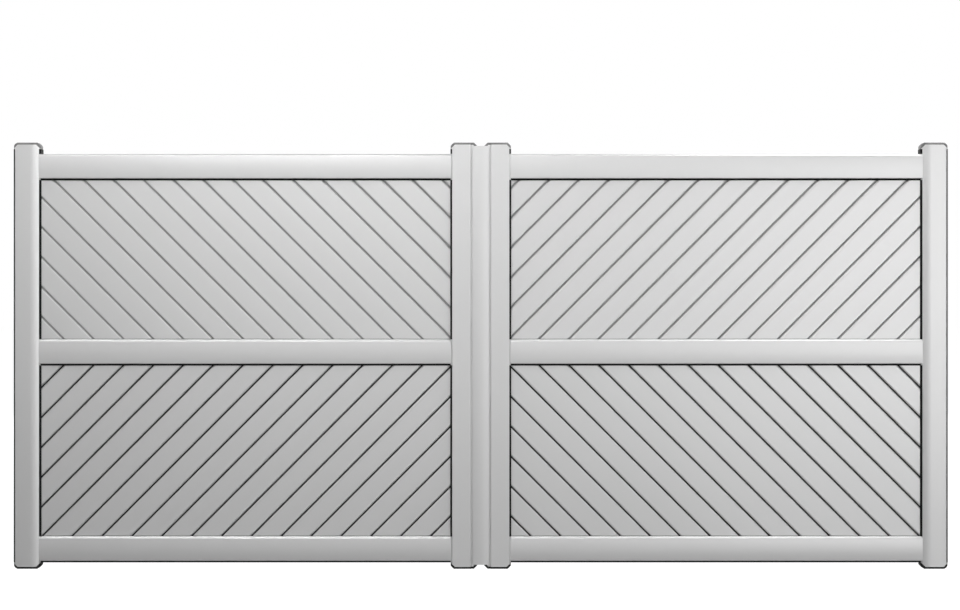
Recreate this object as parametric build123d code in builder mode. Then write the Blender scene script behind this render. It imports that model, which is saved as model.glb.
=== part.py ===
"""Double-leaf swing gate in coated aluminium, with diagonal V-jointed boards in a grooved frame.

Millimetres. +X runs along the gate, +Y to its back, +Z up. The origin is on the flat face of the
left lower hinge bracket, the face that is bolted to the pillar. Both leaves are shut.
"""

import os
from math import ceil, floor, sqrt

from build123d import *

os.makedirs("parts", exist_ok=True)

# Whole gate: from the outer side of one hinge stile to the other, and from cap to cap
gate_width = 3505.0
gate_height = 1600.0
leaf_gap = 26.0
pillar_gap = 18.0

# Stiles, the upright tubes
stile_width = 100.0
stile_depth = 50.0
edge_bevel = 6.5
edge_softness = 4.0
tube_wall = 2.5
soft_curve_width = 37.0
soft_curve_drop = 6.0

# Rails, the level tubes between the stiles
rail_height = 97.5
rail_setback = 4.0
rail_crown = 2.0
top_rail_drop = 42.5
bottom_rail_rise = 24.0
mid_rail_rise = 764.0
cope_gap = 0.2

# Boards at 45 degrees, tongue and groove, in grooves of the frame
board_cover = 79.5
board_thickness = 20.0
board_wall = 1.6
board_vee = 6.0
board_gap = 1.0
first_joint_offset = 6.0
tongue_length = 5.0
tongue_thickness = 5.0
tongue_clearance = 0.3
groove_depth = 15.0
groove_clearance = 0.3
board_insertion = 12.0

# Meeting of the two leaves: set-back closing profiles under a cover strip
closing_width = 24.0
closing_setback = 9.0
shoulder_radius = 3.0
strip_width = 60.0
strip_thickness = 3.0
strip_crown = 2.0
strip_end_gap_top = 13.0
strip_end_gap_bottom = 16.0
strip_leg_thickness = 3.0
strip_leg_inset = 3.0
strip_leg_end = 16.0

# End caps of the stiles
cap_thickness = 8.0
cap_corner_cut = 12.5
cap_bevel = 6.0

# Hinges, set behind the hinge stiles
lower_hinge_height = 74.0
upper_hinge_drop = 90.0
plate_setback = 115.0
plate_width = 90.0
plate_height = 120.0
plate_thickness = 8.0
plate_corner_radius = 6.0
bolt_spacing_y = 60.0
bolt_spacing_z = 90.0
bolt_hole_radius = 5.5
pin_radius = 8.0
pin_clearance = 0.06
pin_end_chamfer = 2.0
pin_reach = 6.0
axis_from_pillar = 33.0
lug_width = 32.0
lug_thickness = 12.0
lug_drop = 26.0
bearing_gap = 0.3
knuckle_radius = 16.0
knuckle_height = 44.0
strap_width = 70.0
strap_height = 90.0
strap_thickness = 6.0
strap_corner_radius = 10.0
strap_side_inset = 8.0
web_width = 20.0

# Places in the part's own frame
front = -plate_setback
back = front + stile_depth
foot = -lower_hinge_height
crest = foot + gate_height
hinge_side = pillar_gap
middle = hinge_side + gate_width / 2
meeting_side = middle - leaf_gap / 2
opening_start = hinge_side + stile_width
opening_end = meeting_side - stile_width
shoulder = meeting_side - closing_width
board_middle = front + stile_depth / 2
groove_width = board_thickness + 2 * groove_clearance
bottom_rail_base = foot + bottom_rail_rise
mid_rail_base = foot + mid_rail_rise
top_rail_base = crest - top_rail_drop - rail_height
rail_front = front + rail_setback
rail_back = back - rail_setback
closing_front = front + closing_setback
axis_y = -plate_width / 2 + lug_width / 2
hinge_rises = {"lower": 0.0, "upper": crest - upper_hinge_drop}
mirror_plane = Plane.YZ.offset(middle)


def write(piece, name):
    """Labels one finished piece and writes it as its own file."""
    piece.label = name
    export_step(piece, f"parts/{name}.step")


def write_pair(piece, name):
    """Writes a piece of the left side and its mirror image on the right side."""
    write(piece, f"left_{name}")
    write(mirror(piece, about=mirror_plane), f"right_{name}")


def level_plane(height):
    """A level plane for plan outlines, in the part's own X and Y."""
    return Plane.XY.offset(height)


def front_plane(depth):
    """An upright plane for front outlines, drawn in X and Z and extruded towards the back."""
    return Plane((0, depth, 0), x_dir=(1, 0, 0), z_dir=(0, -1, 0))


def side_plane(place):
    """An upright plane for sections of level pieces, drawn in Y and Z and extruded along X."""
    return Plane((place, 0, 0), x_dir=(0, 1, 0), z_dir=(1, 0, 0))


def hinge_stile_outline():
    """Plan outline of the hinge stile, flat in front with a soft curve towards the boards."""
    curve_start = (opening_start - soft_curve_width, front)
    curve_end = (opening_start - edge_bevel, front + soft_curve_drop)
    with BuildSketch() as outline:
        with BuildLine():
            TangentArc(curve_start, curve_end, tangent=(1, 0))
            Polyline(
                curve_end,
                (opening_start, front + soft_curve_drop + edge_bevel),
                (opening_start, back - edge_bevel),
                (opening_start - edge_bevel, back),
                (hinge_side + edge_bevel, back),
                (hinge_side, back - edge_bevel),
                (hinge_side, front + edge_bevel),
                (hinge_side + edge_bevel, front),
                curve_start,
            )
        make_face()
        corners = [
            corner
            for corner in outline.vertices()
            if abs(corner.X - curve_start[0]) > edge_bevel
        ]
        fillet(corners, edge_softness)
    return outline.sketch


def meeting_stile_outline():
    """Plan outline of the meeting stile, from the boards to the shoulder beside the strip."""
    with BuildSketch() as outline:
        with Locations(((opening_end + shoulder) / 2, board_middle)):
            Rectangle(shoulder - opening_end, stile_depth)
        fillet(outline.vertices().group_by(Axis.X)[-1], shoulder_radius)
        chamfer(outline.vertices().group_by(Axis.X)[0], edge_bevel)
        bevels = [corner for corner in outline.vertices() if corner.X < opening_end + 2 * edge_bevel]
        fillet(bevels, edge_softness)
    return outline.sketch


def closing_outline():
    """Plan outline of the closing profile that the cover strip lies over."""
    with BuildSketch() as outline:
        with Locations(((shoulder + meeting_side) / 2, (closing_front + back) / 2)):
            Rectangle(closing_width, back - closing_front)
        fillet(outline.vertices().group_by(Axis.X)[-1], shoulder_radius)
    return outline.sketch


def end_outline(start, end, inset):
    """Front outline of an upright, with its four corners cut, as far in as the caps are thick."""
    cut = cap_corner_cut + inset * (sqrt(2) - 1)
    with BuildSketch() as outline:
        with Locations(((start + end) / 2, (foot + crest) / 2)):
            Rectangle(end - start, gate_height - 2 * inset)
        chamfer(outline.vertices(), cut)
    return outline.sketch


def chamber_outline(width, height):
    """Outline of a tube's hollow, with its corners cut behind the tube's bevelled edges."""
    with BuildSketch() as outline:
        Rectangle(width, height)
        chamfer(outline.vertices(), edge_bevel)
    return outline.sketch


def upright(outline, chamber_start, chamber_end, chamber_front, chamber_back, start, end):
    """An upright tube of a given plan, ending under the caps."""
    with BuildPart() as tube:
        with BuildSketch(level_plane(foot)):
            add(outline)
            with Locations(
                ((chamber_start + chamber_end) / 2, (chamber_front + chamber_back) / 2)
            ):
                add(
                    chamber_outline(chamber_end - chamber_start, chamber_back - chamber_front),
                    mode=Mode.SUBTRACT,
                )
        extrude(amount=gate_height)
        with BuildSketch(front_plane(front)):
            add(end_outline(start, end, cap_thickness))
        extrude(amount=-stile_depth, mode=Mode.INTERSECT)
    return tube.part


def cut_board_groove(tube, wall_place, inward):
    """Cuts the groove for the boards into a side of an upright."""
    with BuildPart() as grooved:
        add(tube)
        with BuildSketch(level_plane(foot)):
            with Locations((wall_place + inward * groove_depth / 2, board_middle)):
                Rectangle(groove_depth, groove_width)
        extrude(amount=gate_height, mode=Mode.SUBTRACT)
    return grooved.part


def make_hinge_stile():
    """The upright tube beside the pillar, grooved for the boards."""
    tube = upright(
        hinge_stile_outline(),
        hinge_side + tube_wall,
        opening_start - groove_depth - tube_wall,
        front + tube_wall + soft_curve_drop,
        back - tube_wall,
        hinge_side,
        opening_start,
    )
    return cut_board_groove(tube, opening_start, -1)


def make_meeting_stile():
    """The upright tube beside the meeting line, grooved for the boards."""
    tube = upright(
        meeting_stile_outline(),
        opening_end + groove_depth + tube_wall,
        shoulder - tube_wall,
        front + tube_wall,
        back - tube_wall,
        opening_end,
        meeting_side,
    )
    return cut_board_groove(tube, opening_end, 1)


def make_closing_profile():
    """The narrow set-back tube along the meeting stile."""
    return upright(
        closing_outline(),
        shoulder + tube_wall,
        meeting_side - tube_wall,
        closing_front + tube_wall,
        back - tube_wall,
        opening_end,
        meeting_side,
    )


def make_rail(base, grooved_above, grooved_below):
    """A level tube with crowned faces, its ends shaped round the rounded edges of the stiles."""
    top = base + rail_height
    middle_height = base + rail_height / 2
    reach = edge_bevel - cope_gap
    face_edge = rail_front + rail_crown
    back_edge = rail_back - rail_crown
    with BuildPart() as rail:
        with BuildSketch(side_plane(opening_start - reach)) as section:
            with BuildLine():
                ThreePointArc(
                    (face_edge, base + edge_bevel),
                    (rail_front, middle_height),
                    (face_edge, top - edge_bevel),
                )
                Polyline(
                    (face_edge, top - edge_bevel),
                    (face_edge + edge_bevel, top),
                    (back_edge - edge_bevel, top),
                    (back_edge, top - edge_bevel),
                )
                ThreePointArc(
                    (back_edge, top - edge_bevel),
                    (rail_back, middle_height),
                    (back_edge, base + edge_bevel),
                )
                Polyline(
                    (back_edge, base + edge_bevel),
                    (back_edge - edge_bevel, base),
                    (face_edge + edge_bevel, base),
                    (face_edge, base + edge_bevel),
                )
            make_face()
            fillet(section.vertices(), edge_softness)
            hollow_base = base + tube_wall
            hollow_top = top - tube_wall
            if grooved_above:
                hollow_top -= groove_depth
                with Locations((board_middle, top - groove_depth / 2)):
                    Rectangle(groove_width, groove_depth, mode=Mode.SUBTRACT)
            if grooved_below:
                hollow_base += groove_depth
                with Locations((board_middle, base + groove_depth / 2)):
                    Rectangle(groove_width, groove_depth, mode=Mode.SUBTRACT)
            with Locations((board_middle, (hollow_base + hollow_top) / 2)):
                add(
                    chamber_outline(
                        back_edge - face_edge - 2 * tube_wall, hollow_top - hollow_base
                    ),
                    mode=Mode.SUBTRACT,
                )
        extrude(amount=opening_end - opening_start + 2 * reach)
        with BuildSketch(level_plane(base)):
            add(hinge_stile_outline())
            add(meeting_stile_outline())
            offset(amount=cope_gap)
        extrude(amount=rail_height, mode=Mode.SUBTRACT)
    return rail.part


def board_outline():
    """Section of one board: V edges on both faces, a tongue on one side and its groove on the other."""
    half_width = (board_cover - board_gap) / 2
    half_thickness = board_thickness / 2
    slot_depth = tongue_length + tongue_clearance
    hollow_start = -half_width + slot_depth + board_wall
    hollow_end = half_width - board_vee - board_wall
    with BuildSketch() as outline:
        Rectangle(2 * half_width, board_thickness)
        chamfer(outline.vertices(), board_vee)
        with Locations((half_width + tongue_length / 2, 0)):
            Rectangle(tongue_length, tongue_thickness)
        with Locations((-half_width + slot_depth / 2, 0)):
            Rectangle(slot_depth, tongue_thickness + 2 * tongue_clearance, mode=Mode.SUBTRACT)
        with Locations(((hollow_start + hollow_end) / 2, 0)):
            Rectangle(
                hollow_end - hollow_start, 2 * (half_thickness - board_wall), mode=Mode.SUBTRACT
            )
    return outline.sketch


def make_boards(base, top, rail_edge, rise):
    """The boards of one opening, sloping by 45 degrees, trimmed to reach into the frame's grooves.

    A joint starts beside the mid rail at the meeting stile. The others follow at the boards' cover.
    """
    across = Vector(1, 0, rise).normalized()
    along = Vector(1, 0, -rise).normalized()
    first_joint = Vector(opening_end, board_middle, rail_edge + rise * first_joint_offset)
    corners = [
        (Vector(x, board_middle, z) - first_joint).dot(across) / board_cover
        for x in (opening_start, opening_end)
        for z in (base, top)
    ]
    width = opening_end - opening_start
    height = top - base
    reach = width + height
    section = board_outline()
    places = [
        ((count + 0.5) * board_cover, 0) for count in range(floor(min(corners)), ceil(max(corners)))
    ]
    with BuildPart() as boards:
        with BuildSketch(Plane(first_joint, x_dir=across, z_dir=along)):
            with Locations(*places):
                add(section)
        extrude(amount=reach, both=True)
        with BuildSketch(front_plane(front)):
            with Locations(((opening_start + opening_end) / 2, (base + top) / 2)):
                Rectangle(width + 2 * board_insertion, height + 2 * board_insertion)
        extrude(amount=-stile_depth, mode=Mode.INTERSECT)
    return boards.part


def make_cap(outlines, start, end, end_face, upward):
    """A bent plate over one end of a stile, following its cut corners, bevelled in front and behind."""
    half_height = gate_height / 2
    with BuildPart() as cap:
        with BuildSketch(front_plane(front)):
            add(end_outline(start, end, 0))
            add(end_outline(start, end, cap_thickness), mode=Mode.SUBTRACT)
            with Locations(((start + end) / 2, end_face - upward * half_height / 2)):
                Rectangle(end - start, half_height, mode=Mode.INTERSECT)
        extrude(amount=-stile_depth)
        with BuildSketch(level_plane(foot)):
            for outline in outlines:
                add(outline)
        extrude(amount=gate_height, mode=Mode.INTERSECT)
        with BuildSketch(side_plane(start)) as bevelled:
            with Locations((board_middle, (foot + crest) / 2)):
                Rectangle(stile_depth, gate_height)
            chamfer(bevelled.vertices(), cap_bevel)
        extrude(amount=end - start, mode=Mode.INTERSECT)
    return cap.part


def make_cover_strip():
    """The crowned strip over the meeting line, on two legs that stand on the left closing profile."""
    strip_start = middle - strip_width / 2
    strip_end = middle + strip_width / 2
    edge_front = front + strip_crown
    strip_back = edge_front + strip_thickness
    base = foot + strip_end_gap_bottom
    leg_places = (
        strip_start + strip_leg_inset + strip_leg_thickness / 2,
        meeting_side - strip_leg_inset - strip_leg_thickness / 2,
    )
    with BuildPart() as strip:
        with BuildSketch(level_plane(base)):
            with BuildLine():
                ThreePointArc((strip_start, edge_front), (middle, front), (strip_end, edge_front))
                Polyline(
                    (strip_end, edge_front),
                    (strip_end, strip_back),
                    (strip_start, strip_back),
                    (strip_start, edge_front),
                )
            make_face()
        extrude(amount=gate_height - strip_end_gap_top - strip_end_gap_bottom)
        with BuildSketch(level_plane(base + strip_leg_end)):
            for place in leg_places:
                with Locations((place, (strip_back + closing_front) / 2)):
                    Rectangle(strip_leg_thickness, closing_front - strip_back)
        extrude(amount=gate_height - strip_end_gap_top - strip_end_gap_bottom - 2 * strip_leg_end)
    return strip.part


def make_hinge_bracket(rise):
    """The bracket on the pillar: a bolted plate, a lug and the upright pin that carries the leaf."""
    lug_base = rise - lug_drop
    knuckle_top = lug_base + lug_thickness + bearing_gap + knuckle_height
    with BuildPart() as bracket:
        with BuildSketch(side_plane(0)):
            with Locations((0, rise)):
                RectangleRounded(plate_width, plate_height, plate_corner_radius)
                with GridLocations(bolt_spacing_y, bolt_spacing_z, 2, 2):
                    Circle(bolt_hole_radius, mode=Mode.SUBTRACT)
        extrude(amount=plate_thickness)
        with BuildSketch(level_plane(lug_base)):
            with Locations((axis_from_pillar / 2, axis_y)):
                Rectangle(axis_from_pillar, lug_width)
            with Locations((axis_from_pillar, axis_y)):
                Circle(lug_width / 2)
        extrude(amount=lug_thickness)
        with BuildSketch(level_plane(lug_base)):
            with Locations((axis_from_pillar, axis_y)):
                Circle(pin_radius)
        extrude(amount=knuckle_top + pin_reach - lug_base)
        chamfer(bracket.faces().sort_by(Axis.Z)[-1].edges(), pin_end_chamfer)
    return bracket.part


def make_hinge_strap(rise):
    """The strap on the back of the hinge stile, with the knuckle that turns on the pin."""
    knuckle_base = rise - lug_drop + lug_thickness + bearing_gap
    strap_face = back + strap_thickness
    strap_middle = hinge_side + strap_side_inset + strap_width / 2
    with BuildPart() as strap:
        with BuildSketch(front_plane(back)):
            with Locations((strap_middle, knuckle_base + knuckle_height / 2)):
                RectangleRounded(strap_width, strap_height, strap_corner_radius)
        extrude(amount=-strap_thickness)
        with BuildSketch(level_plane(knuckle_base)):
            with Locations((axis_from_pillar, (strap_face + axis_y) / 2)):
                Rectangle(web_width, axis_y - strap_face)
            with Locations((axis_from_pillar, axis_y)):
                Circle(knuckle_radius)
        extrude(amount=knuckle_height)
        with BuildSketch(level_plane(knuckle_base)):
            with Locations((axis_from_pillar, axis_y)):
                Circle(pin_radius + pin_clearance)
        extrude(amount=knuckle_height, mode=Mode.SUBTRACT)
    return strap.part


# Frames of the two leaves
write_pair(make_hinge_stile(), "hinge_stile")
write_pair(make_meeting_stile(), "meeting_stile")
write_pair(make_closing_profile(), "closing_profile")
write_pair(make_rail(top_rail_base, False, True), "top_rail")
write_pair(make_rail(mid_rail_base, True, True), "mid_rail")
write_pair(make_rail(bottom_rail_base, True, False), "bottom_rail")

# Boards, mirrored at the mid rail
mid_rail_top = mid_rail_base + rail_height
bottom_rail_top = bottom_rail_base + rail_height
write_pair(make_boards(mid_rail_top, top_rail_base, mid_rail_top, 1), "upper_boards")
write_pair(make_boards(bottom_rail_top, mid_rail_base, mid_rail_base, -1), "lower_boards")

# Caps on the ends of the stiles
stiles = {
    "hinge_stile": ([hinge_stile_outline()], hinge_side, opening_start),
    "meeting_stile": ([meeting_stile_outline(), closing_outline()], opening_end, meeting_side),
}
ends = {"top": (crest, 1), "bottom": (foot, -1)}
for stile_name, (outlines, start, end) in stiles.items():
    for end_name, (end_face, upward) in ends.items():
        write_pair(make_cap(outlines, start, end, end_face, upward), f"{stile_name}_{end_name}_cap")

# Meeting of the leaves and hinges
write(make_cover_strip(), "meeting_cover_strip")
for hinge_name, rise in hinge_rises.items():
    write_pair(make_hinge_bracket(rise), f"{hinge_name}_hinge_bracket")
    write_pair(make_hinge_strap(rise), f"{hinge_name}_hinge_strap")
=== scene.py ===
"""Looks of a swing gate: powder-coated aluminium leaves, dark end caps and galvanised pin hinges.

Laid out as an add-on and run as a script. Metres, in the gate's own frame: +X runs along the gate,
+Y to its back, +Z up, and the origin is on the plate of the left lower hinge bracket.
"""

import math

import bmesh
import bpy
from bpy.props import FloatProperty, FloatVectorProperty, PointerProperty
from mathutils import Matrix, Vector


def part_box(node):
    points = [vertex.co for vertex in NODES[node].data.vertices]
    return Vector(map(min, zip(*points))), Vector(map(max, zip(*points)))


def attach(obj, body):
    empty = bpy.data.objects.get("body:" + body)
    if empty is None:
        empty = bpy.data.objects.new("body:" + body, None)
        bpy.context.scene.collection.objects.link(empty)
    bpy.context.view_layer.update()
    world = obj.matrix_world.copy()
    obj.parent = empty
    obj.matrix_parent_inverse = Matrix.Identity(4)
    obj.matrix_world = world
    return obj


bl_info = {
    "name": "Swing Gate",
    "version": (1, 0, 0),
    "blender": (4, 5, 0),
    "location": "View3D > Sidebar > Gate",
    "description": "Finishes, fasteners and studio for a swing gate with diagonal boards",
    "category": "Object",
}

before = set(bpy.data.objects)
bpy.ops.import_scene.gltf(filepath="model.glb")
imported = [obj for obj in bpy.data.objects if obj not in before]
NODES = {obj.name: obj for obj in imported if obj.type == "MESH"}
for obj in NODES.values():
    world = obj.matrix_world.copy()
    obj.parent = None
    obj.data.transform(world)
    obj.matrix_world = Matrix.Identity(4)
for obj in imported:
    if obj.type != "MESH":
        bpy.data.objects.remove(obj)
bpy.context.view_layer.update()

SIDES = ("left", "right")
RISES = ("lower", "upper")
FRAME_PIECES = (
    "hinge_stile",
    "meeting_stile",
    "closing_profile",
    "top_rail",
    "mid_rail",
    "bottom_rail",
)
BOARD_PIECES = ("upper_boards", "lower_boards")
STILES = ("hinge_stile", "meeting_stile")

# Places taken from the frame
GATE_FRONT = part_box("left_meeting_stile")[0].y
GATE_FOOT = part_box("left_hinge_stile_bottom_cap")[0].z
STRIP_LOW, STRIP_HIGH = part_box("meeting_cover_strip")
GATE_MIDDLE = (STRIP_LOW.x + STRIP_HIGH.x) / 2

# The plates are centred on the origin, and the screws keep off the free edge of the straps
PLATE_MIDDLE = 0.0
SCREW_EDGE = 0.014

# Bevels of the frame that the black shade strips lie on: their width, and how far behind the gate's
# front they start
BEVEL_WIDTH = 0.0065
BEVEL_STARTS = {"hinge_stile": 0.006, "meeting_stile": 0.0, "top_rail": 0.006, "mid_rail": 0.006}

# Rubber of the shade strips, black strips that paint shade on the frame's bevels and sides: on a flat
# side, at its tapered rear edge, round the corner and over the bevel
SHADE_STRIP_THICKNESS = 0.0014
SHADE_STRIP_TAPER = 0.0012
SHADE_STRIP_CORNER = 0.0006
SHADE_STRIP_OVER_BEVEL = 0.00085

# Rear edges of the shade strips, forward from the boards: beside the boards, on stile ends, beside the
# pillar
BOARD_SHADE_STRIP_REAR = -0.0002
END_SHADE_STRIP_REAR = -0.028
PILLAR_SHADE_STRIP_REAR = 0.004

# Section of the low black strip on top of a rail, which paints a line of shade where the boards meet it:
# up from the rail, and forward from the boards
SHADE_LIP_SECTION = (
    (0.0, -0.0002),
    (0.0016, -0.0002),
    (0.0014, 0.0006),
    (0.0004, 0.0018),
    (0.0, 0.002),
)

# Shine of the plastic caps and of the rubber of the shade strips
CAP_SHEEN = 0.3
SHADE_STRIP_SHEEN = 0.04

# Floor: its brightness to the camera near the gate and far off, and where that changes
FLOOR_REACH = 60.0
FLOOR_GLOW = (0.93, 1.0)
FLOOR_GLOW_REACH = (2.5, 6.0)
FLOOR_PALE = (0.2, 0.2, 0.2, 1.0)
FLOOR_DARK = (0.06, 0.06, 0.06, 1.0)

# The white that metal mirrors lies behind the gate, between these shares of the way to straight back
BACKDROP_EDGE = (0.85, 0.97)

WHITE = (1.0, 1.0, 1.0, 1.0)


class GatePaintSettings(bpy.types.PropertyGroup):
    """Coating of the frame and the boards, and the plastic of the caps."""

    frame_colour: FloatVectorProperty(
        name="Frame colour",
        description="Colour of the coating on stiles, rails and cover strip",
        subtype="COLOR",
        size=3,
        default=(0.76, 0.76, 0.76),
    )
    board_colour: FloatVectorProperty(
        name="Board colour",
        description="Colour of the coating on the boards",
        subtype="COLOR",
        size=3,
        default=(0.76, 0.76, 0.76),
    )
    coat_roughness: FloatProperty(
        name="Coat roughness",
        description="Roughness of the satin coating",
        subtype="FACTOR",
        min=0.0,
        max=1.0,
        default=0.45,
    )
    peel_size: FloatProperty(
        name="Peel size",
        description="Size of the fine ripple that a baked powder coat has",
        subtype="DISTANCE",
        default=0.0022,
    )
    # The joint depth and shade settings paint shade into the board coat: it darkens towards the bottom
    # of each joint, the lower boards' joints almost to black.
    upper_joint_depth: FloatProperty(
        name="Upper joint depth",
        description="Depth at which the joints of the upper boards are darkest",
        subtype="DISTANCE",
        default=0.0038,
    )
    lower_joint_depth: FloatProperty(
        name="Lower joint depth",
        description="Depth at which the joints of the lower boards are darkest",
        subtype="DISTANCE",
        default=0.0045,
    )
    upper_joint_painted_shade: FloatProperty(
        name="Upper joint shade",
        description="Share of the coat's colour left at the bottom of a joint of the upper boards",
        subtype="FACTOR",
        min=0.0,
        max=1.0,
        default=0.55,
    )
    lower_joint_painted_shade: FloatProperty(
        name="Lower joint shade",
        description="Share of the coat's colour left at the bottom of a joint of the lower boards",
        subtype="FACTOR",
        min=0.0,
        max=1.0,
        default=0.01,
    )
    # Black of the rubber strips that paint shade along the frame's edges, under the rails and on the
    # stiles' inner sides
    shade_strip_colour: FloatVectorProperty(
        name="Seal colour",
        description="Colour of the rubber shade_strips between the frame and the boards",
        subtype="COLOR",
        size=3,
        default=(0.02, 0.02, 0.02),
    )
    # Painted light: the top caps are lit and the bottom caps shaded copies of one plastic, the top one
    # lighter and the bottom one near black.
    top_cap_lit_colour: FloatVectorProperty(
        name="Top cap colour",
        description="Colour of the moulded caps on the upper ends, which the sun has paled",
        subtype="COLOR",
        size=3,
        default=(0.2, 0.2, 0.2),
    )
    bottom_cap_shaded_colour: FloatVectorProperty(
        name="Bottom cap colour",
        description="Colour of the moulded caps on the lower ends",
        subtype="COLOR",
        size=3,
        default=(0.015, 0.015, 0.015),
    )


class GateHingeSettings(bpy.types.PropertyGroup):
    """Galvanised steel of the hinges and the sizes of their fasteners."""

    steel_colour: FloatVectorProperty(
        name="Steel colour",
        description="Colour of the galvanised steel",
        subtype="COLOR",
        size=3,
        default=(0.56, 0.57, 0.58),
    )
    bolt_width: FloatProperty(
        name="Bolt head width",
        description="Width across the corners of a bracket bolt's head",
        subtype="DISTANCE",
        default=0.0185,
    )
    bolt_height: FloatProperty(
        name="Bolt head height",
        description="Height of a bracket bolt's head",
        subtype="DISTANCE",
        default=0.0065,
    )
    bolt_spacing: FloatVectorProperty(
        name="Bolt spacing",
        description="Distances between the bolts of a bracket, across and up",
        subtype="XYZ_LENGTH",
        size=2,
        default=(0.06, 0.09),
    )
    plate_thickness: FloatProperty(
        name="Plate thickness",
        description="Thickness of a bracket's plate, which the bolts sit on",
        subtype="DISTANCE",
        default=0.008,
    )
    screw_width: FloatProperty(
        name="Screw head width",
        description="Width of a strap screw's round head",
        subtype="DISTANCE",
        default=0.0115,
    )
    screw_height: FloatProperty(
        name="Screw head height",
        description="Height of a strap screw's round head",
        subtype="DISTANCE",
        default=0.0038,
    )
    screw_spacing: FloatVectorProperty(
        name="Screw spacing",
        description="Distances between the screws of a strap, across and up",
        subtype="XYZ_LENGTH",
        size=2,
        default=(0.024, 0.062),
    )
    strap_thickness: FloatProperty(
        name="Strap thickness",
        description="Thickness of a strap, which the screws sit on",
        subtype="DISTANCE",
        default=0.006,
    )


class GateStageSettings(bpy.types.PropertyGroup):
    """Camera, lamps and floor of the studio."""

    camera_distance: FloatProperty(
        name="Camera distance",
        description="From the lens to the front of the gate",
        subtype="DISTANCE",
        default=6.0,
    )
    camera_height: FloatProperty(
        name="Camera height",
        description="Of the lens above the lower end of the gate",
        subtype="DISTANCE",
        default=0.9903,
    )
    camera_side: FloatProperty(
        name="Camera side",
        description="Of the lens from the gate's meeting line, to the right",
        subtype="DISTANCE",
        default=-0.0028,
    )
    lens: FloatProperty(
        name="Lens", description="Focal length", unit="CAMERA", default=60.0
    )
    right_wall_power: FloatProperty(
        name="Right wall lamp",
        description="Power of the large lamp far behind the camera, on the right",
        unit="POWER",
        default=388.0,
    )
    left_wall_power: FloatProperty(
        name="Left wall lamp",
        description="Power of the large lamp behind the camera, on the left",
        unit="POWER",
        default=31.0,
    )
    right_top_power: FloatProperty(
        name="Right top lamp",
        description="Power of the lamp over the right leaf",
        unit="POWER",
        default=48.0,
    )
    left_top_power: FloatProperty(
        name="Left top lamp",
        description="Power of the lamp over the left leaf",
        unit="POWER",
        default=114.0,
    )
    right_side_power: FloatProperty(
        name="Right side lamp",
        description="Power of the lamp high at the right end of the gate",
        unit="POWER",
        default=43.0,
    )
    left_side_power: FloatProperty(
        name="Left side lamp",
        description="Power of the lamp high at the left end of the gate",
        unit="POWER",
        default=28.0,
    )
    right_front_power: FloatProperty(
        name="Right front lamp",
        description="Power of the large lamp in front of the gate, far to the right",
        unit="POWER",
        default=46.0,
    )
    left_front_power: FloatProperty(
        name="Left front lamp",
        description="Power of the large lamp in front of the gate, far to the left",
        unit="POWER",
        default=36.0,
    )
    right_rear_power: FloatProperty(
        name="Right rear lamp",
        description="Power of the large lamp behind the gate, far to the right",
        unit="POWER",
        default=230.0,
    )
    left_rear_power: FloatProperty(
        name="Left rear lamp",
        description="Power of the large lamp behind the gate, far to the left",
        unit="POWER",
        default=230.0,
    )
    back_power: FloatProperty(
        name="Back lamp",
        description="Power of the large lamp behind the gate",
        unit="POWER",
        default=560.0,
    )
    room_light: FloatProperty(
        name="Room light",
        description="Strength of the even light from all round",
        min=0.0,
        default=0.02,
    )
    floor_drop: FloatProperty(
        name="Floor drop",
        description="From the lower end of the gate down to the floor",
        subtype="DISTANCE",
        default=0.06,
    )


def new_material(name):
    """A material with nodes, and its shader."""
    material = bpy.data.materials.new(name)
    material.use_nodes = True
    shader = material.node_tree.nodes["Principled BSDF"]
    return material, material.node_tree, shader


def noise(tree, coordinates, scale, detail):
    """A noise texture on the given coordinates."""
    node = tree.nodes.new("ShaderNodeTexNoise")
    node.inputs["Scale"].default_value = scale
    node.inputs["Detail"].default_value = detail
    tree.links.new(coordinates, node.inputs["Vector"])
    return node


def ramp(tree, value, low, high, start=0.0, end=1.0):
    """Maps a value from one range onto another, and holds it there beyond the ends."""
    node = tree.nodes.new("ShaderNodeMapRange")
    node.inputs["From Min"].default_value = start
    node.inputs["From Max"].default_value = end
    node.inputs["To Min"].default_value = low
    node.inputs["To Max"].default_value = high
    tree.links.new(value, node.inputs["Value"])
    return node.outputs["Result"]


def shaded_colour(tree, value, colour, spread):
    """A colour that wanders a little darker and lighter with a value."""
    mix = tree.nodes.new("ShaderNodeMix")
    mix.data_type = "RGBA"
    mix.inputs["A"].default_value = (*[c * (1 - spread) for c in colour], 1.0)
    mix.inputs["B"].default_value = (*[min(1.0, c * (1 + spread)) for c in colour], 1.0)
    tree.links.new(value, mix.inputs["Factor"])
    return mix.outputs["Result"]


def math_node(tree, operation, first, second):
    """A calculation with two sockets, or with a socket and a number."""
    node = tree.nodes.new("ShaderNodeMath")
    node.operation = operation
    for place, value in enumerate((first, second)):
        if isinstance(value, float):
            node.inputs[place].default_value = value
        else:
            tree.links.new(value, node.inputs[place])
    return node.outputs["Value"]


def bump(tree, height, distance, strength):
    """A bump from a height."""
    node = tree.nodes.new("ShaderNodeBump")
    node.inputs["Distance"].default_value = distance
    node.inputs["Strength"].default_value = strength
    tree.links.new(height, node.inputs["Height"])
    return node.outputs["Normal"]


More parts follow.
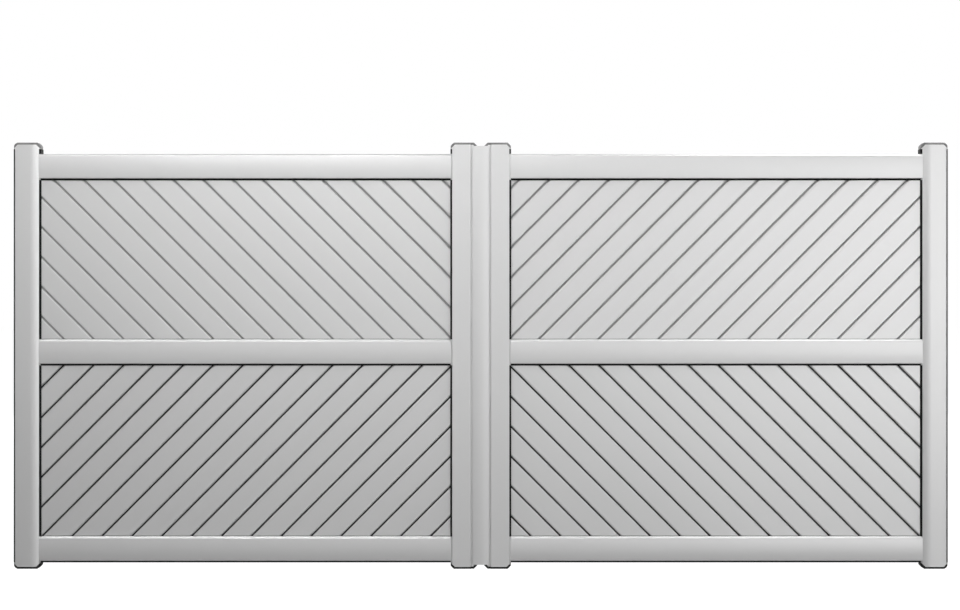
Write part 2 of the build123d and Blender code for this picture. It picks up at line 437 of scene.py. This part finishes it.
def powder_coat(name, colour, roughness, peel_size):
    """Satin powder coat: faint cloudiness, an even satin sheen and a fine rippled skin."""
    material, tree, shader = new_material(name)
    place = tree.nodes.new("ShaderNodeTexCoord").outputs["Object"]
    clouds = noise(tree, place, 3.0, 2.0).outputs["Fac"]
    peel = noise(tree, place, 1.0 / peel_size, 2.0).outputs["Fac"]
    grain = noise(tree, place, 4.0 / peel_size, 1.0).outputs["Fac"]
    tree.links.new(shaded_colour(tree, clouds, colour, 0.012), shader.inputs["Base Color"])
    tree.links.new(
        ramp(tree, grain, roughness - 0.05, roughness + 0.05), shader.inputs["Roughness"]
    )
    tree.links.new(bump(tree, peel, 0.0002, 0.12), shader.inputs["Normal"])
    shader.inputs["Metallic"].default_value = 0.5
    return material


def paint_joint_shade(material, middle, reach, depth, shade):
    """Paints shade into a coat: darkens it towards the bottom of the joints between boards."""
    tree = material.node_tree
    shader = tree.nodes["Principled BSDF"]
    place = tree.nodes.new("ShaderNodeSeparateXYZ")
    tree.links.new(tree.nodes.new("ShaderNodeTexCoord").outputs["Object"], place.inputs[0])
    across = math_node(tree, "ABSOLUTE", math_node(tree, "SUBTRACT", place.outputs["Y"], middle), 0.0)
    level = ramp(tree, across, shade, 1.0, reach - depth, reach - depth * 0.7)
    unshaded_colour = shader.inputs["Base Color"].links[0].from_socket
    mix = tree.nodes.new("ShaderNodeMix")
    mix.data_type = "RGBA"
    mix.blend_type = "MULTIPLY"
    mix.inputs["Factor"].default_value = 1.0
    tree.links.new(unshaded_colour, mix.inputs["A"])
    tree.links.new(level, mix.inputs["B"])
    tree.links.new(mix.outputs["Result"], shader.inputs["Base Color"])


def moulded_plastic(name, colour, sheen):
    """Dark moulded plastic with a fine eroded grain."""
    material, tree, shader = new_material(name)
    place = tree.nodes.new("ShaderNodeTexCoord").outputs["Object"]
    clouds = noise(tree, place, 14.0, 3.0).outputs["Fac"]
    grain = noise(tree, place, 1400.0, 2.0).outputs["Fac"]
    tree.links.new(shaded_colour(tree, clouds, colour, 0.06), shader.inputs["Base Color"])
    tree.links.new(ramp(tree, grain, 0.5, 0.66), shader.inputs["Roughness"])
    tree.links.new(bump(tree, grain, 0.0001, 0.25), shader.inputs["Normal"])
    shader.inputs["Specular IOR Level"].default_value = sheen
    return material


def galvanised_steel(name, colour):
    """Dull zinc with the crystal pattern of hot galvanising."""
    material, tree, shader = new_material(name)
    place = tree.nodes.new("ShaderNodeTexCoord").outputs["Object"]
    spangle = tree.nodes.new("ShaderNodeTexVoronoi")
    spangle.inputs["Scale"].default_value = 130.0
    tree.links.new(place, spangle.inputs["Vector"])
    crystal = tree.nodes.new("ShaderNodeSeparateColor")
    tree.links.new(spangle.outputs["Color"], crystal.inputs["Color"])
    streaks = noise(tree, place, 45.0, 4.0).outputs["Fac"]
    tree.links.new(
        shaded_colour(tree, crystal.outputs["Red"], colour, 0.13), shader.inputs["Base Color"]
    )
    tree.links.new(ramp(tree, streaks, 0.34, 0.56), shader.inputs["Roughness"])
    tree.links.new(bump(tree, streaks, 0.0003, 0.2), shader.inputs["Normal"])
    shader.inputs["Metallic"].default_value = 0.9
    return material


def dress(node, material):
    """Gives a CAD node its finish."""
    slots = NODES[node].data.materials
    slots.clear()
    slots.append(material)


class GATE_OT_coat_frames(bpy.types.Operator):
    """Coats the stiles, rails, closing profiles and the cover strip"""

    bl_idname = "gate.coat_frames"
    bl_label = "Coat Frames"

    def execute(self, context):
        paint = context.scene.gate_paint
        coat = powder_coat(
            "frame_coat", paint.frame_colour, paint.coat_roughness, paint.peel_size
        )
        for side in SIDES:
            for piece in FRAME_PIECES:
                dress(f"{side}_{piece}", coat)
        dress("meeting_cover_strip", coat)
        return {"FINISHED"}


class GATE_OT_coat_boards(bpy.types.Operator):
    """Coats the diagonal boards, with painted shade in their joints"""

    bl_idname = "gate.coat_boards"
    bl_label = "Coat Boards"

    def execute(self, context):
        paint = context.scene.gate_paint
        low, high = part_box("left_upper_boards")
        reach = (high.y - low.y) / 2
        joints = (
            (paint.upper_joint_depth, paint.upper_joint_painted_shade),
            (paint.lower_joint_depth, paint.lower_joint_painted_shade),
        )
        for piece, (depth, shade) in zip(BOARD_PIECES, joints):
            coat = powder_coat(piece, paint.board_colour, paint.coat_roughness, paint.peel_size)
            # Painted shade: the coat darkens towards the bottom of each joint
            paint_joint_shade(coat, low.y + reach, reach, depth, shade)
            for side in SIDES:
                dress(f"{side}_{piece}", coat)
        return {"FINISHED"}


class GATE_OT_finish_caps(bpy.types.Operator):
    """Gives the end caps of the stiles their plastic, lighter on top and darker below as painted light
    and shade
    """

    bl_idname = "gate.finish_caps"
    bl_label = "Finish Caps"

    def execute(self, context):
        paint = context.scene.gate_paint
        colours = {"top": paint.top_cap_lit_colour, "bottom": paint.bottom_cap_shaded_colour}
        for end, colour in colours.items():
            # Painted light and shade: the top caps get a lighter copy of the plastic and the bottom caps
            # a near-black one
            plastic = moulded_plastic(f"{end}_cap_plastic", colour, CAP_SHEEN)
            for side in SIDES:
                for bar in STILES:
                    dress(f"{side}_{bar}_{end}_cap", plastic)
        return {"FINISHED"}


class GATE_OT_galvanise_hinges(bpy.types.Operator):
    """Gives the hinge brackets and straps their galvanised steel"""

    bl_idname = "gate.galvanise_hinges"
    bl_label = "Galvanise Hinges"

    def execute(self, context):
        steel = galvanised_steel("hinge_zinc", context.scene.gate_hinges.steel_colour)
        for side in SIDES:
            for rise in RISES:
                dress(f"{side}_{rise}_hinge_bracket", steel)
                dress(f"{side}_{rise}_hinge_strap", steel)
        return {"FINISHED"}


def fastener_tree():
    """Geometry nodes that put a head on a washer at every point, turned along its facing."""
    tree = bpy.data.node_groups.new("fasteners", "GeometryNodeTree")
    sockets = tree.interface
    sockets.new_socket("Geometry", in_out="INPUT", socket_type="NodeSocketGeometry")
    for name, kind in (
        ("Sides", "NodeSocketInt"),
        ("Width", "NodeSocketFloat"),
        ("Height", "NodeSocketFloat"),
        ("Crown", "NodeSocketFloat"),
        ("Washer Width", "NodeSocketFloat"),
        ("Washer Height", "NodeSocketFloat"),
        ("Material", "NodeSocketMaterial"),
    ):
        sockets.new_socket(name, in_out="INPUT", socket_type=kind)
    sockets.new_socket("Geometry", in_out="OUTPUT", socket_type="NodeSocketGeometry")
    given = tree.nodes.new("NodeGroupInput").outputs
    radius = math_node(tree, "MULTIPLY", given["Width"], 0.5)
    crown_radius = math_node(tree, "MULTIPLY", radius, given["Crown"])
    flange_radius = math_node(tree, "MULTIPLY", given["Washer Width"], 0.5)
    half_height = math_node(tree, "MULTIPLY", given["Height"], 0.5)
    shoulder = math_node(tree, "ADD", given["Washer Height"], half_height)
    stack = tree.nodes.new("GeometryNodeJoinGeometry")
    for sides, bottom, top, height, level in (
        (None, flange_radius, flange_radius, given["Washer Height"], None),
        (given["Sides"], radius, radius, half_height, given["Washer Height"]),
        (given["Sides"], radius, crown_radius, half_height, shoulder),
    ):
        cone = tree.nodes.new("GeometryNodeMeshCone")
        if sides is None:
            cone.inputs["Vertices"].default_value = 20
        else:
            tree.links.new(sides, cone.inputs["Vertices"])
        tree.links.new(bottom, cone.inputs["Radius Bottom"])
        tree.links.new(top, cone.inputs["Radius Top"])
        tree.links.new(height, cone.inputs["Depth"])
        lift = tree.nodes.new("ShaderNodeCombineXYZ")
        if level is not None:
            tree.links.new(level, lift.inputs["Z"])
        move = tree.nodes.new("GeometryNodeTransform")
        tree.links.new(cone.outputs["Mesh"], move.inputs["Geometry"])
        tree.links.new(lift.outputs["Vector"], move.inputs["Translation"])
        tree.links.new(move.outputs["Geometry"], stack.inputs["Geometry"])
    facing = tree.nodes.new("GeometryNodeInputNamedAttribute")
    facing.data_type = "FLOAT_VECTOR"
    facing.inputs["Name"].default_value = "facing"
    turn = tree.nodes.new("FunctionNodeAlignRotationToVector")
    turn.axis = "Z"
    tree.links.new(facing.outputs["Attribute"], turn.inputs["Vector"])
    spread = tree.nodes.new("GeometryNodeInstanceOnPoints")
    tree.links.new(given["Geometry"], spread.inputs["Points"])
    tree.links.new(stack.outputs["Geometry"], spread.inputs["Instance"])
    tree.links.new(turn.outputs["Rotation"], spread.inputs["Rotation"])
    realize = tree.nodes.new("GeometryNodeRealizeInstances")
    tree.links.new(spread.outputs["Instances"], realize.inputs["Geometry"])
    paint = tree.nodes.new("GeometryNodeSetMaterial")
    tree.links.new(realize.outputs["Geometry"], paint.inputs["Geometry"])
    tree.links.new(given["Material"], paint.inputs["Material"])
    output = tree.nodes.new("NodeGroupOutput")
    tree.links.new(paint.outputs["Geometry"], output.inputs["Geometry"])
    return tree


def add_fasteners(context, name, body, places, facings, values):
    """One piece with a fastener at every place, in the steel of the hinges."""
    points = bpy.data.meshes.new(name)
    points.from_pydata(places, [], [])
    turns = points.attributes.new("facing", "FLOAT_VECTOR", "POINT")
    for item, facing in zip(turns.data, facings):
        item.vector = facing
    piece = bpy.data.objects.new(name, points)
    context.scene.collection.objects.link(piece)
    tree = bpy.data.node_groups.get("fasteners") or fastener_tree()
    modifier = piece.modifiers.new("fasteners", "NODES")
    modifier.node_group = tree
    for socket in tree.interface.items_tree:
        if socket.in_out == "INPUT" and socket.name in values:
            modifier[socket.identifier] = values[socket.name]
    evaluated = piece.evaluated_get(context.evaluated_depsgraph_get())
    mesh = bpy.data.meshes.new_from_object(evaluated)
    piece.modifiers.remove(modifier)
    piece.data = mesh
    mesh.name = name
    bpy.data.meshes.remove(points)
    if not mesh.polygons:
        raise RuntimeError(f"{name} came out empty")
    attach(piece, body)
    return piece


class GATE_OT_add_bracket_bolts(bpy.types.Operator):
    """Adds the hexagon bolts and washers that hold the brackets to the pillars"""

    bl_idname = "gate.add_bracket_bolts"
    bl_label = "Add Bracket Bolts"

    def execute(self, context):
        sizes = context.scene.gate_hinges
        across, up = sizes.bolt_spacing
        places = []
        facings = []
        for side in SIDES:
            for rise in RISES:
                low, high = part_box(f"{side}_{rise}_hinge_bracket")
                middle = (low + high) / 2
                if side == "left":
                    face, inward = low.x + sizes.plate_thickness, 1.0
                else:
                    face, inward = high.x - sizes.plate_thickness, -1.0
                for dy in (-across / 2, across / 2):
                    for dz in (-up / 2, up / 2):
                        places.append((face, PLATE_MIDDLE + dy, middle.z + dz))
                        facings.append((inward, 0.0, 0.0))
        values = {
            "Sides": 6,
            "Width": sizes.bolt_width,
            "Height": sizes.bolt_height,
            "Crown": 0.86,
            "Washer Width": sizes.bolt_width * 1.14,
            "Washer Height": sizes.bolt_height * 0.3,
            "Material": bpy.data.materials["hinge_zinc"],
        }
        add_fasteners(context, "pillar_bolts", "pillar_brackets", places, facings, values)
        return {"FINISHED"}


class GATE_OT_add_strap_screws(bpy.types.Operator):
    """Adds the round-headed screws that hold the straps to the hinge stiles"""

    bl_idname = "gate.add_strap_screws"
    bl_label = "Add Strap Screws"

    def execute(self, context):
        sizes = context.scene.gate_hinges
        across, up = sizes.screw_spacing
        for side in SIDES:
            places = []
            facings = []
            for rise in RISES:
                low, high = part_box(f"{side}_{rise}_hinge_strap")
                middle = (low + high) / 2
                if side == "left":
                    columns = (high.x - SCREW_EDGE, high.x - SCREW_EDGE - across)
                else:
                    columns = (low.x + SCREW_EDGE, low.x + SCREW_EDGE + across)
                for x in columns:
                    for dz in (-up / 2, up / 2):
                        places.append((x, low.y + sizes.strap_thickness, middle.z + dz))
                        facings.append((0.0, 1.0, 0.0))
            values = {
                "Sides": 16,
                "Width": sizes.screw_width,
                "Height": sizes.screw_height,
                "Crown": 0.5,
                "Washer Width": sizes.screw_width * 1.2,
                "Washer Height": sizes.screw_height * 0.25,
                "Material": bpy.data.materials["hinge_zinc"],
            }
            add_fasteners(context, f"{side}_strap_screws", f"{side}_leaf", places, facings, values)
        return {"FINISHED"}


class GATE_OT_add_shade_strips(bpy.types.Operator):
    """Adds black rubber strips round the boards and along the edges of the stiles, which paint the shade
    there
    """

    bl_idname = "gate.add_seals"
    bl_label = "Add Seals"

    def execute(self, context):
        # Painted shade: near-black rubber for the strips that stand in for shade along the frame
        rubber = moulded_plastic("shade_strip_rubber", context.scene.gate_paint.shade_strip_colour, SHADE_STRIP_SHEEN)
        for side in SIDES:
            self.corners = []
            self.faces = []
            self.board_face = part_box(f"{side}_upper_boards")[0].y
            self.shade_strip_boards(side)
            self.shade_strip_stile_ends(side)
            self.shade_strip_hinge_side(side)
            self.shade_strip_foot(side)
            mesh = bpy.data.meshes.new(f"{side}_seals")
            mesh.from_pydata(self.corners, [], self.faces)
            mesh.materials.append(rubber)
            self.even_normals(mesh)
            piece = bpy.data.objects.new(f"{side}_seals", mesh)
            context.scene.collection.objects.link(piece)
            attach(piece, f"{side}_leaf")
        return {"FINISHED"}

    def opening(self, side):
        """The stiles left and right of a leaf's boards, with the places of their inner sides."""
        bars = STILES if side == "left" else STILES[::-1]
        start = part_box(f"{side}_{bars[0]}")[1].x
        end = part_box(f"{side}_{bars[1]}")[0].x
        return (bars[0], start, 1), (bars[1], end, -1)

    def shade_strip_boards(self, side):
        """Black strips painting shade where the boards enter the stiles and rails."""
        stiles = self.opening(side)
        start, end = stiles[0][1], stiles[1][1]
        for below, above in (("mid_rail", "top_rail"), ("bottom_rail", "mid_rail")):
            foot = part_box(f"{side}_{below}")[1].z
            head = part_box(f"{side}_{above}")[0].z
            for bar, place, outward in stiles:
                section = self.bevel_section(bar, BOARD_SHADE_STRIP_REAR)
                self.run(section, (place, foot), (place, head), (outward, 0))
            section = self.bevel_section(above, BOARD_SHADE_STRIP_REAR)
            self.run(section, (start, head), (end, head), (0, -1))
            self.run(SHADE_LIP_SECTION, (start, foot), (end, foot), (0, 1))

    def shade_strip_stile_ends(self, side):
        """Broad black strips painting shade on the inner sides of the stiles, above the top rail and
        below the bottom one.
        """
        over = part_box(f"{side}_top_rail")[1].z
        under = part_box(f"{side}_bottom_rail")[0].z
        for bar, place, outward in self.opening(side):
            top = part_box(f"{side}_{bar}_top_cap")[0].z
            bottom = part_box(f"{side}_{bar}_bottom_cap")[1].z
            section = self.bevel_section(bar, END_SHADE_STRIP_REAR)
            self.run(section, (place, over), (place, top), (outward, 0))
            self.run(section, (place, bottom), (place, under), (outward, 0))

    def shade_strip_hinge_side(self, side):
        """A black strip painting shade along the edge of the hinge stile that faces the pillar."""
        low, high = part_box(f"{side}_hinge_stile")
        place, outward = (low.x, -1) if side == "left" else (high.x, 1)
        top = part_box(f"{side}_hinge_stile_top_cap")[0].z
        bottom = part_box(f"{side}_hinge_stile_bottom_cap")[1].z
        section = self.bevel_section("meeting_stile", PILLAR_SHADE_STRIP_REAR)
        self.run(section, (place, bottom), (place, top), (outward, 0))

    def shade_strip_foot(self, side):
        """A black strip painting shade along the lower edge of the bottom rail."""
        (_, start, _), (_, end, _) = self.opening(side)
        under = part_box(f"{side}_bottom_rail")[0].z
        section = self.bevel_section("mid_rail", BOARD_SHADE_STRIP_REAR)
        self.run(section, (start, under), (end, under), (0, -1))

    def bevel_section(self, bar, rear):
        """Points of a shade strip out from a frame bar and forward from the boards, over the bar's
        bevel.
        """
        base = self.board_face - GATE_FRONT - BEVEL_STARTS[bar] - BEVEL_WIDTH
        tip = BEVEL_WIDTH - 0.0011
        return (
            (0.0, rear),
            (SHADE_STRIP_THICKNESS, rear),
            (SHADE_STRIP_TAPER, rear + 0.001),
            (SHADE_STRIP_CORNER, base + 0.00025),
            (-tip, base + tip + SHADE_STRIP_OVER_BEVEL),
            (-tip - 0.0002, base + tip),
            (-0.0001, base - 0.0001),
        )

    def run(self, section, begin, finish, outward):
        """A straight length of shade strip with a given section."""
        first = len(self.corners)
        count = len(section)
        for x, z in (begin, finish):
            for lip, rise in section:
                place = (x + outward[0] * lip, self.board_face - rise, z + outward[1] * lip)
                self.corners.append(place)
        for index in range(count):
            after = (index + 1) % count
            ring = (index, after, count + after, count + index)
            self.faces.append(tuple(first + corner for corner in ring))
        self.faces.append(tuple(range(first, first + count)))
        self.faces.append(tuple(range(first + count, first + 2 * count)))

    def even_normals(self, mesh):
        """Turns all faces of a mesh outward."""
        shape = bmesh.new()
        shape.from_mesh(mesh)
        bmesh.ops.recalc_face_normals(shape, faces=shape.faces)
        shape.to_mesh(mesh)
        shape.free()


def add_area_lamp(name, place, target, width, height, power):
    """A soft rectangular lamp at a place, turned to a target."""
    data = bpy.data.lights.new(name, "AREA")
    data.shape = "RECTANGLE"
    data.size = width
    data.size_y = height
    data.energy = power
    lamp = bpy.data.objects.new(name, data)
    lamp.location = place
    lamp.rotation_euler = (Vector(target) - Vector(place)).to_track_quat("-Z", "Y").to_euler()
    lamp.visible_camera = False
    bpy.context.scene.collection.objects.link(lamp)
    return lamp


class GATE_OT_build_stage(bpy.types.Operator):
    """Sets up the floor, the white surroundings, the lamps and the camera"""

    bl_idname = "gate.build_stage"
    bl_label = "Build Stage"

    def execute(self, context):
        stage = context.scene.gate_stage
        self.add_floor(stage)
        self.add_surroundings(context, stage)
        self.add_lamps(stage)
        self.add_camera(context, stage)
        context.scene.view_settings.view_transform = "Standard"
        return {"FINISHED"}

    def add_floor(self, stage):
        """A wide pale floor that keeps the gate's shadow."""
        level = GATE_FOOT - stage.floor_drop
        corners = [
            (GATE_MIDDLE + sx * FLOOR_REACH, GATE_FRONT + sy * FLOOR_REACH, level)
            for sx, sy in ((-1, -1), (1, -1), (1, 1), (-1, 1))
        ]
        mesh = bpy.data.meshes.new("studio_floor")
        mesh.from_pydata(corners, [], [(0, 1, 2, 3)])
        material, tree, shader = new_material("floor_paint")
        shader.inputs["Base Color"].default_value = FLOOR_DARK
        shader.inputs["Roughness"].default_value = 0.9
        distance = tree.nodes.new("ShaderNodeVectorMath")
        distance.operation = "LENGTH"
        place = tree.nodes.new("ShaderNodeTexCoord").outputs["Object"]
        centred = tree.nodes.new("ShaderNodeMapping")
        centred.inputs["Location"].default_value = (-GATE_MIDDLE, -GATE_FRONT, -level)
        tree.links.new(place, centred.inputs["Vector"])
        tree.links.new(centred.outputs["Vector"], distance.inputs[0])
        glow = tree.nodes.new("ShaderNodeEmission")
        glow.inputs["Color"].default_value = WHITE
        strength = ramp(tree, distance.outputs["Value"], *FLOOR_GLOW, *FLOOR_GLOW_REACH)
        tree.links.new(strength, glow.inputs["Strength"])
        pale = tree.nodes.new("ShaderNodeBsdfDiffuse")
        pale.inputs["Color"].default_value = FLOOR_PALE
        seen = tree.nodes.new("ShaderNodeAddShader")
        tree.links.new(glow.outputs["Emission"], seen.inputs[0])
        tree.links.new(pale.outputs["BSDF"], seen.inputs[1])
        mix = tree.nodes.new("ShaderNodeMixShader")
        path = tree.nodes.new("ShaderNodeLightPath")
        tree.links.new(path.outputs["Is Camera Ray"], mix.inputs["Fac"])
        tree.links.new(shader.outputs["BSDF"], mix.inputs[1])
        tree.links.new(seen.outputs["Shader"], mix.inputs[2])
        output = tree.nodes["Material Output"]
        tree.links.new(mix.outputs["Shader"], output.inputs["Surface"])
        mesh.materials.append(material)
        floor = bpy.data.objects.new("studio_floor", mesh)
        bpy.context.scene.collection.objects.link(floor)

    def add_surroundings(self, context, stage):
        """White for the camera, and a weak even light for everything else."""
        world = bpy.data.worlds.new("studio_room")
        context.scene.world = world
        world.use_nodes = True
        tree = world.node_tree
        background = tree.nodes["Background"]
        background.inputs["Color"].default_value = WHITE
        path = tree.nodes.new("ShaderNodeLightPath").outputs
        direction = tree.nodes.new("ShaderNodeSeparateXYZ")
        tree.links.new(tree.nodes.new("ShaderNodeTexCoord").outputs["Generated"], direction.inputs[0])
        backdrop = ramp(tree, direction.outputs["Y"], 0.0, 1.0, *BACKDROP_EDGE)
        by_way = math_node(tree, "MAXIMUM", path["Is Glossy Ray"], path["Is Transmission Ray"])
        mirrored = math_node(tree, "MULTIPLY", by_way, backdrop)
        shown = math_node(tree, "MAXIMUM", path["Is Camera Ray"], mirrored)
        tree.links.new(
            ramp(tree, shown, stage.room_light, 1.0), background.inputs["Strength"]
        )

    def add_lamps(self, stage):
        """Large lamps behind the camera, to both sides and behind the gate, and four above it."""
        heart = (0.0, 0.0, 0.8)
        rear = (0.0, 1.0, 0.8)
        lamps = (
            ("right_wall", (6.0, -13.0, 1.5), (6.0, 0.0, 1.5), 6.0, 3.0, stage.right_wall_power),
            ("left_wall", (-1.5, -7.0, 1.2), (-1.5, 0.0, 1.2), 4.0, 2.4, stage.left_wall_power),
            ("right_top", (1.9, -0.4, 4.1), heart, 1.8, 1.8, stage.right_top_power),
            ("left_top", (-1.09, -2.99, 3.98), heart, 1.8, 1.8, stage.left_top_power),
            ("right_side", (5.12, -0.9, 3.8), heart, 1.8, 1.8, stage.right_side_power),
            ("left_side", (-3.13, -0.55, 3.98), heart, 1.8, 1.8, stage.left_side_power),
            ("right_front", (7.0, -6.0, 2.2), heart, 5.0, 3.5, stage.right_front_power),
            ("left_front", (-7.0, -6.0, 2.2), heart, 5.0, 3.5, stage.left_front_power),
            ("right_rear", (8.0, 4.0, 2.2), rear, 6.0, 4.0, stage.right_rear_power),
            ("left_rear", (-8.0, 4.0, 2.2), rear, 6.0, 4.0, stage.left_rear_power),
            ("back", (0.0, 9.0, 2.4), (0.0, 0.0, 1.0), 16.0, 4.0, stage.back_power),
        )
        corner = Vector((GATE_MIDDLE, GATE_FRONT, GATE_FOOT))
        for name, place, target, width, height, power in lamps:
            start = corner + Vector(place)
            add_area_lamp(f"{name}_lamp", start, corner + Vector(target), width, height, power)

    def add_camera(self, context, stage):
        """A level camera square to the gate."""
        data = bpy.data.cameras.new("gate_camera")
        data.sensor_width = 36.0
        data.lens = stage.lens
        camera = bpy.data.objects.new("gate_camera", data)
        camera.location = (
            GATE_MIDDLE + stage.camera_side,
            GATE_FRONT - stage.camera_distance,
            GATE_FOOT + stage.camera_height,
        )
        camera.rotation_euler = (math.radians(90), 0, 0)
        context.scene.collection.objects.link(camera)
        context.scene.camera = camera


class GATE_PT_sidebar(bpy.types.Panel):
    """Lists the steps that dress the gate"""

    bl_idname = "GATE_PT_sidebar"
    bl_label = "Swing Gate"
    bl_space_type = "VIEW_3D"
    bl_region_type = "UI"
    bl_category = "Gate"

    def draw(self, context):
        for operator in OPERATORS:
            self.layout.operator(operator.bl_idname)


SETTINGS = {
    "gate_paint": GatePaintSettings,
    "gate_hinges": GateHingeSettings,
    "gate_stage": GateStageSettings,
}
OPERATORS = (
    GATE_OT_coat_frames,
    GATE_OT_coat_boards,
    GATE_OT_finish_caps,
    GATE_OT_galvanise_hinges,
    GATE_OT_add_bracket_bolts,
    GATE_OT_add_strap_screws,
    GATE_OT_add_shade_strips,
    GATE_OT_build_stage,
)


def register():
    for name, settings in SETTINGS.items():
        bpy.utils.register_class(settings)
        setattr(bpy.types.Scene, name, PointerProperty(type=settings))
    for operator in OPERATORS:
        bpy.utils.register_class(operator)
    bpy.utils.register_class(GATE_PT_sidebar)


def unregister():
    bpy.utils.unregister_class(GATE_PT_sidebar)
    for operator in reversed(OPERATORS):
        bpy.utils.unregister_class(operator)
    for name, settings in reversed(SETTINGS.items()):
        delattr(bpy.types.Scene, name)
        bpy.utils.unregister_class(settings)


def main():
    register()
    bpy.ops.gate.coat_frames()
    bpy.ops.gate.coat_boards()
    bpy.ops.gate.finish_caps()
    bpy.ops.gate.galvanise_hinges()
    bpy.ops.gate.add_bracket_bolts()
    bpy.ops.gate.add_strap_screws()
    bpy.ops.gate.add_seals()
    bpy.ops.gate.build_stage()


if __name__ == "__main__":
    main()
